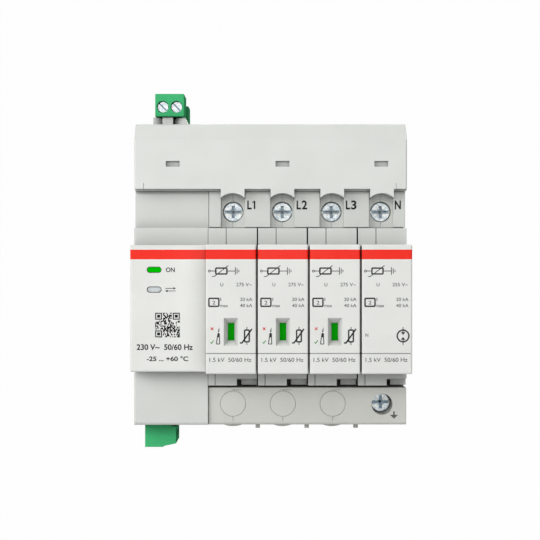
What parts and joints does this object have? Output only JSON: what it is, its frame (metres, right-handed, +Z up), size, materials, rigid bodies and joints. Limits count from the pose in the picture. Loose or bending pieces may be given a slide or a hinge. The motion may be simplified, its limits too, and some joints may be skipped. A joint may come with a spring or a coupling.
{
  "type": "surge protective device",
  "caption": "Rail-mounted surge protective device: plug-in cartridges with status windows, a monitor section, a sensor hood, screw terminals and pluggable connectors.",
  "frame": {"origin": "middle of the seat that rests on the front face of the 35 mm mounting rail, at the rail's centre line", "axes": "+Z up along the poles' height, +Y to the back into the rail, X across the poles with the monitor section at -X"},
  "size_m": [0.098, 0.0651, 0.1301],
  "materials": {
    "housing_plastic": "fine matte moulded light grey",
    "front_plastic": "smooth satin moulded warm grey",
    "closing_plastic": "matte mid grey",
    "latch_plastic": "satin off-white",
    "connector_plastic": "satin green",
    "circuit_board": "glossy green varnish",
    "components": "matte black",
    "power_light": "clear green",
    "data_light": "clear pale grey",
    "zinc": "bright zinc plating with a blue cast",
    "copper": "bare copper",
    "varistor": "dipped blue epoxy",
    "ceramic": "glazed ceramic with metal caps",
    "flag": "green above, red below"
  },
  "bodies": {
    "housing": {"hood_base": "housing_plastic", "hood_cover": "housing_plastic", "sensor_board": "circuit_board", "current_sensors": "components", "monitor_base": "housing_plastic", "monitor_front": "front_plastic", "circuit_board": "circuit_board", "board_components": "components", "power_light_guide": "power_light", "data_light_guide": "data_light", "supply_header": "connector_plastic", "data_header": "connector_plastic", "pole_base_l1": "housing_plastic", "pole_base_l2": "housing_plastic", "pole_base_l3": "housing_plastic", "pole_base_n": "housing_plastic", "terminal_comb": "housing_plastic", "lower_cover": "housing_plastic", "line_contacts": "copper", "neutral_bar": "copper", "earth_contact": "copper"},
    "supply_plug": {"supply_plug": "connector_plastic"},
    "data_plug": {"data_plug": "connector_plastic", "data_plug_screws": "zinc", "data_plug_clamps": "zinc"},
    "cartridge_l1": {"cartridge_shell_l1": "front_plastic", "cartridge_base_l1": "closing_plastic", "cartridge_blades_l1": "copper", "varistor_l1": "varistor"},
    "cartridge_l2": {"cartridge_shell_l2": "front_plastic", "cartridge_base_l2": "closing_plastic", "cartridge_blades_l2": "copper", "varistor_l2": "varistor"},
    "cartridge_l3": {"cartridge_shell_l3": "front_plastic", "cartridge_base_l3": "closing_plastic", "cartridge_blades_l3": "copper", "varistor_l3": "varistor"},
    "cartridge_n": {"cartridge_shell_n": "front_plastic", "cartridge_base_n": "closing_plastic", "cartridge_blades_n": "copper", "gas_tube": "ceramic"},
    "status_flag_l1": {"status_flag_l1": "flag"},
    "status_flag_l2": {"status_flag_l2": "flag"},
    "status_flag_l3": {"status_flag_l3": "flag"},
    "terminal_screw_l1": {"terminal_screw_l1": "zinc"},
    "terminal_cage_l1": {"terminal_cage_l1": "zinc"},
    "terminal_screw_l2": {"terminal_screw_l2": "zinc"},
    "terminal_cage_l2": {"terminal_cage_l2": "zinc"},
    "terminal_screw_l3": {"terminal_screw_l3": "zinc"},
    "terminal_cage_l3": {"terminal_cage_l3": "zinc"},
    "terminal_screw_n": {"terminal_screw_n": "zinc"},
    "terminal_cage_n": {"terminal_cage_n": "zinc"},
    "terminal_screw_pe": {"terminal_screw_pe": "zinc"},
    "terminal_cage_pe": {"terminal_cage_pe": "zinc"},
    "rail_latch_left": {"rail_latch_left": "latch_plastic"},
    "rail_latch_right": {"rail_latch_right": "latch_plastic"},
    "supply_plug_screw_1": {"supply_plug_screw_1": "zinc"},
    "supply_plug_clamp_1": {"supply_plug_clamp_1": "zinc"},
    "supply_plug_screw_2": {"supply_plug_screw_2": "zinc"},
    "supply_plug_clamp_2": {"supply_plug_clamp_2": "zinc"}
  },
  "joints": [
    {"name": "cartridge_l1_pull", "type": "slide", "parent": "housing", "child": "cartridge_l1", "axis": [0, -1, 0], "range_m": [0, 0.05]},
    {"name": "cartridge_l2_pull", "type": "slide", "parent": "housing", "child": "cartridge_l2", "axis": [0, -1, 0], "range_m": [0, 0.05]},
    {"name": "cartridge_l3_pull", "type": "slide", "parent": "housing", "child": "cartridge_l3", "axis": [0, -1, 0], "range_m": [0, 0.05]},
    {"name": "cartridge_n_pull", "type": "slide", "parent": "housing", "child": "cartridge_n", "axis": [0, -1, 0], "range_m": [0, 0.05]},
    {"name": "status_flag_l1_lift", "type": "slide", "parent": "cartridge_l1", "child": "status_flag_l1", "axis": [0, 0, 1], "range_m": [0, 0.0067]},
    {"name": "status_flag_l2_lift", "type": "slide", "parent": "cartridge_l2", "child": "status_flag_l2", "axis": [0, 0, 1], "range_m": [0, 0.0067]},
    {"name": "status_flag_l3_lift", "type": "slide", "parent": "cartridge_l3", "child": "status_flag_l3", "axis": [0, 0, 1], "range_m": [0, 0.0067]},
    {"name": "terminal_screw_l1_turn", "type": "hinge", "parent": "housing", "child": "terminal_screw_l1", "pos_m": [-0.01335, -0.0349, 0.0345], "axis": [0, 1, 0], "range_deg": [0, 1440]},
    {"name": "terminal_cage_l1_draw", "type": "slide", "parent": "housing", "child": "terminal_cage_l1", "axis": [0, -1, 0], "range_m": [0, 0.0032]},
    {"name": "terminal_screw_l2_turn", "type": "hinge", "parent": "housing", "child": "terminal_screw_l2", "pos_m": [0.00445, -0.0349, 0.0345], "axis": [0, 1, 0], "range_deg": [0, 1440]},
    {"name": "terminal_cage_l2_draw", "type": "slide", "parent": "housing", "child": "terminal_cage_l2", "axis": [0, -1, 0], "range_m": [0, 0.0032]},
    {"name": "terminal_screw_l3_turn", "type": "hinge", "parent": "housing", "child": "terminal_screw_l3", "pos_m": [0.02225, -0.0349, 0.0345], "axis": [0, 1, 0], "range_deg": [0, 1440]},
    {"name": "terminal_cage_l3_draw", "type": "slide", "parent": "housing", "child": "terminal_cage_l3", "axis": [0, -1, 0], "range_m": [0, 0.0032]},
    {"name": "terminal_screw_n_turn", "type": "hinge", "parent": "housing", "child": "terminal_screw_n", "pos_m": [0.04005, -0.0349, 0.0345], "axis": [0, 1, 0], "range_deg": [0, 1440]},
    {"name": "terminal_cage_n_draw", "type": "slide", "parent": "housing", "child": "terminal_cage_n", "axis": [0, -1, 0], "range_m": [0, 0.0032]},
    {"name": "terminal_screw_pe_turn", "type": "hinge", "parent": "housing", "child": "terminal_screw_pe", "pos_m": [0.04005, -0.0349, -0.0345], "axis": [0, 1, 0], "range_deg": [0, 1440]},
    {"name": "terminal_cage_pe_draw", "type": "slide", "parent": "housing", "child": "terminal_cage_pe", "axis": [0, -1, 0], "range_m": [0, 0.0032]},
    {"name": "rail_latch_left_pull", "type": "slide", "parent": "housing", "child": "rail_latch_left", "axis": [0, 0, -1], "range_m": [0, 0.004], "stiffness_N_per_m": 1000, "springref_m": -0.002},
    {"name": "rail_latch_right_pull", "type": "slide", "parent": "housing", "child": "rail_latch_right", "axis": [0, 0, -1], "range_m": [0, 0.004], "stiffness_N_per_m": 1000, "springref_m": -0.002},
    {"name": "supply_plug_pull", "type": "slide", "parent": "housing", "child": "supply_plug", "axis": [0, -1, 0], "range_m": [0, 0.012]},
    {"name": "data_plug_pull", "type": "slide", "parent": "housing", "child": "data_plug", "axis": [0, 0, -1], "range_m": [0, 0.01]},
    {"name": "supply_plug_screw_1_turn", "type": "hinge", "parent": "supply_plug", "child": "supply_plug_screw_1", "pos_m": [-0.03979, -0.0251, 0.074], "axis": [0, 1, 0], "range_deg": [0, 1440]},
    {"name": "supply_plug_clamp_1_draw", "type": "slide", "parent": "supply_plug", "child": "supply_plug_clamp_1", "axis": [0, -1, 0], "range_m": [0, 0.002]},
    {"name": "supply_plug_screw_2_turn", "type": "hinge", "parent": "supply_plug", "child": "supply_plug_screw_2", "pos_m": [-0.03471, -0.0251, 0.074], "axis": [0, 1, 0], "range_deg": [0, 1440]},
    {"name": "supply_plug_clamp_2_draw", "type": "slide", "parent": "supply_plug", "child": "supply_plug_clamp_2", "axis": [0, -1, 0], "range_m": [0, 0.002]}
  ],
  "couplings": [
    {"joint": "terminal_screw_l1_turn", "follows": "terminal_cage_l1_draw", "rad_per_m": 7853.9},
    {"joint": "terminal_screw_l2_turn", "follows": "terminal_cage_l2_draw", "rad_per_m": 7853.9},
    {"joint": "terminal_screw_l3_turn", "follows": "terminal_cage_l3_draw", "rad_per_m": 7853.9},
    {"joint": "terminal_screw_n_turn", "follows": "terminal_cage_n_draw", "rad_per_m": 7853.9},
    {"joint": "terminal_screw_pe_turn", "follows": "terminal_cage_pe_draw", "rad_per_m": 7853.9},
    {"joint": "supply_plug_screw_1_turn", "follows": "supply_plug_clamp_1_draw", "rad_per_m": 12566},
    {"joint": "supply_plug_screw_2_turn", "follows": "supply_plug_clamp_2_draw", "rad_per_m": 12566}
  ]
}
